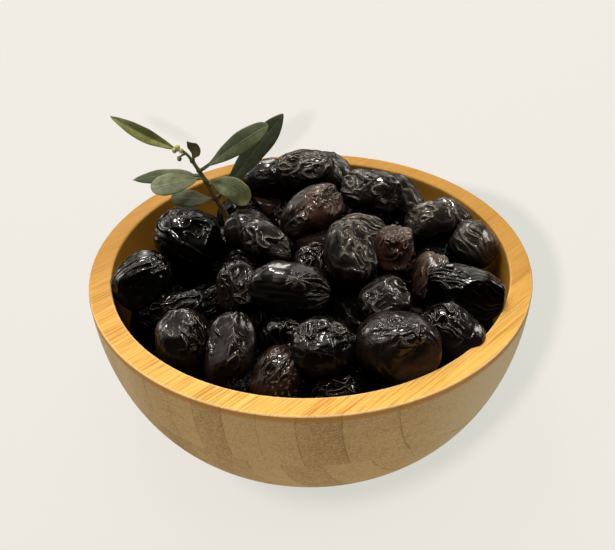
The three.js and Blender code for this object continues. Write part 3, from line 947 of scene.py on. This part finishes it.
# Each leaf runs from the stem through a middle point to its tip. Then come its width, the way its upper side
# looks, how full the outline is at the stalk and at the tip, how folded it is and the colours of its halves.
leaves = [
    leaf((-44.8, 21, 90.8), (-55.3, 21, 96.6), (-66, 22, 103.4), 4.9, (0.1, -0.7, 0.7), (0.8, 0.8), 0.3,
         (92, 99, 45), (146, 150, 66), stalk=0.04),
    leaf((-39.9, 21, 86.4), (-39.5, 20, 90.6), (-40.6, 18, 95.5), 6.2, (-0.1, -1, 0.2), (0.8, 0.7), 0.25,
         (126, 124, 74), (112, 90, 68), lopsided=0.3, tip=(104, 84, 64)),
    leaf((-38, 21, 82.4), (-23.4, 15, 95.4), (-12.7, 12, 103.5), 7.2, (0.1, -0.7, 0.7), (0.85, 0.45), 0.14,
         (96, 106, 72), (84, 95, 66)),
    leaf((-33, 20.5, 71), (-20.5, 29.5, 83.5), (-8.4, 36, 96.5), 9, (0.4, -0.8, 0.3), (0.9, 0.5), 0.12,
         (94, 104, 80), (84, 95, 74), point=0.6),
    leaf((-37.6, 21, 80.8), (-51, 26, 78), (-64, 28, 75.6), 6, (0, -0.5, 0.85), (0.65, 0.85), 0.12,
         (82, 95, 64), (76, 90, 60)),
    leaf((-37.2, 20.6, 80), (-46.6, 14.5, 81.4), (-54, 12, 81), 7.8, (0, -0.6, 0.8), (0.7, 0.4), 0.12,
         (132, 142, 98), (115, 125, 87)),
    leaf((-33.2, 20.4, 71.4), (-41, 17.5, 73.4), (-48.5, 17.5, 74.2), 6.8, (0, -0.5, 0.85), (0.7, 0.32),
         0.14, (92, 98, 60), (72, 80, 48)),
    leaf((-36, 21, 78), (-27.5, 20, 76), (-21.6, 20, 69.8), 8.4, (0.2, -0.8, 0.55), (0.6, 0.42), 0.16,
         (140, 152, 108), (124, 138, 98), tip=(170, 174, 122)),
]


def stickPart(path, radii, around):
    centres = evenCurve(path, len(radii))
    tangents = unit(np.gradient(centres, axis=0))
    sideways = unit(np.cross(tangents, (0, 1, 0)))
    upward = np.cross(sideways, tangents)
    turn = np.arange(around)[:, None] * 2 * math.pi / around
    ring = sideways[:, None] * np.cos(turn) + upward[:, None] * np.sin(turn)
    return skin(centres[:, None] + ring * np.asarray(radii)[:, None, None])


def oneColour(colour, count):
    return {"tint": np.tile(np.array(colour), (count, 1))}


def blendColours(first, second, share):
    return np.array(first) * (1 - share) + np.array(second) * share


def makeStem(material):
    share = np.linspace(0, 1, stem["steps"])
    radii = (stem["thickBelow"] + (stem["thickAbove"] - stem["thickBelow"]) * share) / 2
    for knot in stem["knots"]:
        radii = radii + stem["knotHeight"] * np.exp(-((share - knot) / stem["knotLength"]) ** 2)
    radii = radii * (1 + 0.05 * np.sin(share * 47)) * (1 - 0.5 * rise(share, 0.97, 1))
    points, faces = stickPart(stem["path"], radii, stem["around"])
    colours = blendColours(stem["brown"], stem["green"], rise(points[:, 2], 70, 84)[:, None])
    stalkRadii = np.linspace(1, 0.7, budStalk["steps"]) * budStalk["thick"] / 2
    stalkPoints, stalkFaces = stickPart(budStalk["path"], stalkRadii, budStalk["around"])
    parts = [(points, faces, {"tint": colours}),
             (stalkPoints, stalkFaces, oneColour(buds["green"], len(stalkPoints)))]
    makePiece("sprig_stem", parts, material, "sprig")


def makeBuds(material):
    directions, faces = unitBall(buds["level"])[:2]
    seams = 1 + 0.06 * np.cos(4 * np.arctan2(directions[:, 1], directions[:, 0]))
    parts = []
    for at, radius, colour in buds["places"]:
        points = directions * radius * seams[:, None] * np.array(buds["shape"]) + np.array(at)
        parts.append((points, faces, oneColour(buds[colour], len(points))))
    makePiece("sprig_buds", parts, material, "sprig")


def leafHalfWidth(share, leaf):
    # a thin stalk, then a blade whose ends are as full as narrow and blunt say
    stalkShare = leaf.get("stalk", leafShape["stalk"])
    blade = np.clip((share - stalkShare) / (1 - stalkShare), 0, 1)
    narrow, blunt = leaf["narrow"], leaf["blunt"]
    fullest = narrow / (narrow + blunt)
    peak = fullest ** narrow * (1 - fullest) ** blunt
    swell = blade ** narrow * (1 - blade) ** blunt / peak * leaf["width"] / 2
    swell = swell * (1 - leaf.get("point", 0) * blade ** 8)
    least = np.where(blade < fullest, leafShape["stalkWidth"] / 2, leafShape["edge"])
    return np.maximum(swell, least)


def leafPart(leaf, order):
    steps, cells = leafShape["steps"], leafShape["cells"]
    spine = evenCurve(leaf["path"], steps + 1)
    tangents = unit(np.gradient(spine, axis=0))
    sideways = unit(np.cross(leaf["face"], tangents))
    upward = unit(np.cross(tangents, sideways))
    # down the leaf there is a row for each step, and across it a column for each cell
    share = 0.5 - 0.5 * np.cos(np.linspace(0, math.pi, steps + 1))[:, None]
    even = np.linspace(0, 1, steps + 1)
    spine = np.stack([np.interp(share[:, 0], even, spine[:, axis]) for axis in range(3)], axis=1)
    across = np.linspace(-1, 1, cells + 1)
    half = leafHalfWidth(share, leaf)
    # a lopsided leaf is narrower on its far side
    reach = half * across * np.where(across > 0, leaf.get("lopsided", 1), 1)
    blade = rise(share, 0.08, 0.2)
    lift = leaf["fold"] * (np.sqrt(reach ** 2 + 0.3) - 0.55) - 0.05 * np.abs(reach) ** 1.5
    wave = 0.35 * np.sin(3 * math.pi * share + order) * across
    ripple = 0.12 * np.sin(22 * share + 2 * order + 2 * across) * np.abs(across)
    shape = (lift + wave + ripple) * blade
    thick = leafShape["thickness"] * (1 - 0.75 * across ** 4) * (0.5 + 0.5 * rise(half, 0.1, 1.2))
    thick = thick + (1 - blade) * 0.5
    rib = 0.28 * np.exp(-(reach / 0.42) ** 2) * (1 - 0.8 * share)
    upper = shape + thick / 2 - rib * 0.35
    lower = shape - thick / 2 - rib
    base = spine[:, None] + sideways[:, None] * reach[:, :, None]
    topFace = base + upward[:, None] * upper[:, :, None]
    underFace = base + upward[:, None] * lower[:, :, None]
    points, faces = skin(np.concatenate([topFace, underFace[:, ::-1]], axis=1))
    acrossRing = np.concatenate([across, across[::-1]])
    upperRing = np.concatenate([np.ones(cells + 1), np.zeros(cells + 1)])
    acrossAll = np.concatenate([np.tile(acrossRing, steps + 1), [0, 0]])
    upperAll = np.concatenate([np.tile(upperRing, steps + 1), [1, 1]])
    alongAll = np.concatenate([np.repeat(share[:, 0], 2 * cells + 2), [0, 1]])
    colours = blendColours(leaf["near"], leaf["far"], rise(acrossAll, -0.12, 0.12)[:, None])
    if "tip" in leaf:
        colours = blendColours(colours, paint(*leaf["tip"]), rise(alongAll, 0.45, 0.95)[:, None])
    return points, faces, {"tint": colours, "across": acrossAll, "along": alongAll, "upper": upperAll}


def stemMaterial():
    material, shader, wire, place = newMaterial("green bark")
    streak = place.scaled((1.6, 1.6, 0.25)).noise(1.0, 3.0, 0.6)
    fill(wire.tree, shader, {
        "Base Color": (streak.rise(0.4, 0.7) * 0.4).between(wire.attribute("tint", "Color"), stem["streak"]),
        "Roughness": 0.55,
        "Specular IOR Level": 0.25,
        "Normal": streak.bump(0.4, 0.0003),
    })
    return material


def leafMaterial():
    material, shader, wire, place = newMaterial("olive leaf")
    across = abs(wire.attribute("across"))
    mottle = place.noise(0.5, 3.0, 0.6)
    midrib = 1 - across.rise(0.02, 0.09)
    edge = across.rise(0.93, 1.0)
    slant = wire.attribute("along") * 26 - across * 3.2
    vein = 1 - abs(slant.fraction() - 0.5).rise(0.03, 0.16)
    colour = (mottle.rise(0.35, 0.7) * 0.5).between(wire.attribute("tint", "Color"), leafShape["mottle"])
    colour = (vein * 0.1).between(colour, leafShape["vein"])
    colour = (midrib * 0.22 + edge * 0.15).between(colour, leafShape["midrib"])
    colour = ((1 - wire.attribute("upper")) * 0.55).between(colour, leafShape["underside"])
    fill(wire.tree, shader, {
        "Base Color": colour,
        "Roughness": 0.42 + mottle * 0.15,
        "Specular IOR Level": 0.3,
        "Normal": (mottle * 0.5 - vein * 0.25 - midrib).bump(0.3, 0.0003),
    })
    return material


studio = {
    "floorHalf": 8000,
    "wall": {"radius": 6000, "height": 6000, "sides": 48},
    "floor": paint(44, 44, 43),
    "floorGlow": paint(229, 225, 217),
    "shade": paint(209, 209, 201),
    # the soft shade of the bowl and of two leaves, each an ellipse on the floor
    "shades": [
        {"middle": (38.9, 45.9), "half": (65.9, 113.1), "turn": -28.6, "soft": 0.06, "depth": 1.0},
        {"middle": (-86.4, 227.0), "half": (5.7, 26.0), "turn": 40.2, "soft": 0.45, "depth": 0.6},
        {"middle": (-11.3, 217.5), "half": (9.1, 34.9), "turn": -22.2, "soft": 0.35, "depth": 0.65},
    ],
    "skyMiddle": (-0.1, 0.88, 0.46),    # the bright half of the room is round this direction
    "skyBright": 2.05,
    "skyPatches": 0.9,                  # how much of it comes and goes
    "skyDim": 0.004,
    "sky": (1.0, 0.94, 0.85, 1.0),
    "lampColour": (1.0, 0.95, 0.87),
    # each lamp's place, size and power: glossy ones only make highlights, and matt ones none
    "lamps": {
        "ceiling": ((0, 60, 900), (900, 900), 5.0, "matt"),
        "sun": ((-330, 330, 1480), (160, 160), 5.5, "matt"),
        "leftLamp": ((-1100, 640, 520), (280, 400), 2.6, "glossy"),
        "rightLamp": ((1200, 300, 600), (260, 420), 4.2, "glossy"),
        "backLamp": ((-200, 1000, 850), (380, 240), 3.0, "glossy"),
        "spark": ((-300, 350, 1450), (150, 150), 11.0, "glossy"),
        "nearSpark": ((260, -250, 1450), (130, 130), 7.5, "glossy"),
    },
}
camera = {
    "eye": (0, -214.63, 210.96),
    "lookAt": (-0.94, -3.89, 54.46),
    "roll": 1.39,
    "lens": 44.32,
    "sensor": 36.0,
    "sees": (0.01, 20),         # nearest and farthest, in metres
}


def floorMaterial():
    material, shader, wire, place = newMaterial("pale paper")
    clear = 1
    for shade in studio["shades"]:
        turn = math.radians(shade["turn"])
        offset = place.vector("SUBTRACT", (*shade["middle"], 0))
        first = offset.dot((math.cos(turn), math.sin(turn), 0)) / shade["half"][0]
        second = offset.dot((-math.sin(turn), math.cos(turn), 0)) / shade["half"][1]
        away = (first * first + second * second).root()
        clear = clear * (1 - shade["depth"] * (1 - away.rise(1 - shade["soft"], 1 + shade["soft"])))
    fill(wire.tree, shader, {
        "Base Color": studio["floor"],
        "Roughness": 0.9,
        "Emission Color": clear.between(studio["shade"], studio["floorGlow"]),
        "Emission Strength": 1.0,
    })
    return material


def makeFloor(material):
    half = studio["floorHalf"]
    corners = [(-half, -half, 0), (half, -half, 0), (half, half, 0), (-half, half, 0)]
    floor = addMesh("floor", corners, [(0, 1, 2, 3)], material)
    floor.visible_glossy = False     # so that the dark skins mirror the dim room


def makeBackdrop(material):
    # a round wall far behind everything, which only the camera sees
    radius, height, sides = studio["wall"].values()
    turns = [2 * math.pi * number / sides for number in range(sides)]
    points = [(math.cos(turn) * radius, math.sin(turn) * radius, z) for z in (0, height) for turn in turns]
    faces = [(k, (k + 1) % sides, sides + (k + 1) % sides, sides + k) for k in range(sides)]
    backdrop = addMesh("backdrop", points, faces, material)
    for ray in ("glossy", "diffuse", "transmission", "shadow"):
        setattr(backdrop, "visible_" + ray, False)


def makeLight(name, at, size, power, kind):
    light = bpy.data.lights.new(name, "AREA")
    light.shape = "RECTANGLE"
    light.size, light.size_y = (side * millimetre for side in size)
    light.energy = power
    light.color = studio["lampColour"]
    lamp = addObject(name, light)
    lamp.location = Vector(at) * millimetre
    lamp.rotation_euler = (-lamp.location).to_track_quat("-Z", "Y").to_euler()
    lamp.visible_glossy = kind != "matt"
    lamp.visible_diffuse = kind != "glossy"


def makeRoom():
    world = bpy.data.worlds.new("room")
    world.use_nodes = True
    bpy.context.scene.world = world
    wire = Wire(world.node_tree)
    toSky = wire.node("TexCoord", {}, {}, "Generated")
    lit = toSky.dot(studio["skyMiddle"]).rise(0.0, 0.5) * toSky.dot((0, 0, 1)).rise(-0.1, 0.05)
    patches = 1 - studio["skyPatches"] * (1 - toSky.noise(2.2, 1.0).rise(0.44, 0.6))
    strength = studio["skyDim"] + lit * patches * studio["skyBright"]
    fill(wire.tree, wire.tree.nodes["Background"], {"Color": studio["sky"], "Strength": strength})


def makeCamera():
    data = bpy.data.cameras.new("camera")
    data.sensor_width = camera["sensor"]
    data.lens = camera["lens"]
    data.clip_start, data.clip_end = camera["sees"]
    eye = Vector(camera["eye"]) * millimetre
    ahead = (Vector(camera["lookAt"]) * millimetre - eye).normalized()
    right = ahead.cross(Vector((0, 0, 1))).normalized()
    up = right.cross(ahead)
    roll = Matrix.Rotation(math.radians(camera["roll"]), 3, ahead)
    turned = Matrix((roll @ right, roll @ up, -ahead)).transposed()
    viewer = addObject("camera", data)
    viewer.matrix_world = Matrix.Translation(eye) @ turned.to_4x4()
    bpy.context.scene.camera = viewer


makeCamera()
paper = floorMaterial()
makeFloor(paper)
makeBackdrop(paper)
makeRoom()
for name, settings in studio["lamps"].items():
    makeLight(name, *settings)
bpy.context.scene.view_settings.view_transform = "Standard"
print("set ready")
makeBowl(bambooMaterial())
print("bowl ready")
makeHeap(oliveMaterial("oily olive skin", oliveSkin["gloss"], oliveSkin["crestHighlightShare"]),
         oliveMaterial("olive skin in the shade", oliveSkin["deepGloss"], oliveSkin["deepCrestHighlightShare"]))
print("olives ready")
bark = stemMaterial()
makeStem(bark)
makePiece("sprig_leaves", [leafPart(leaf, order) for order, leaf in enumerate(leaves)], leafMaterial(),
          "sprig")
makeBuds(bark)
print("sprig ready")
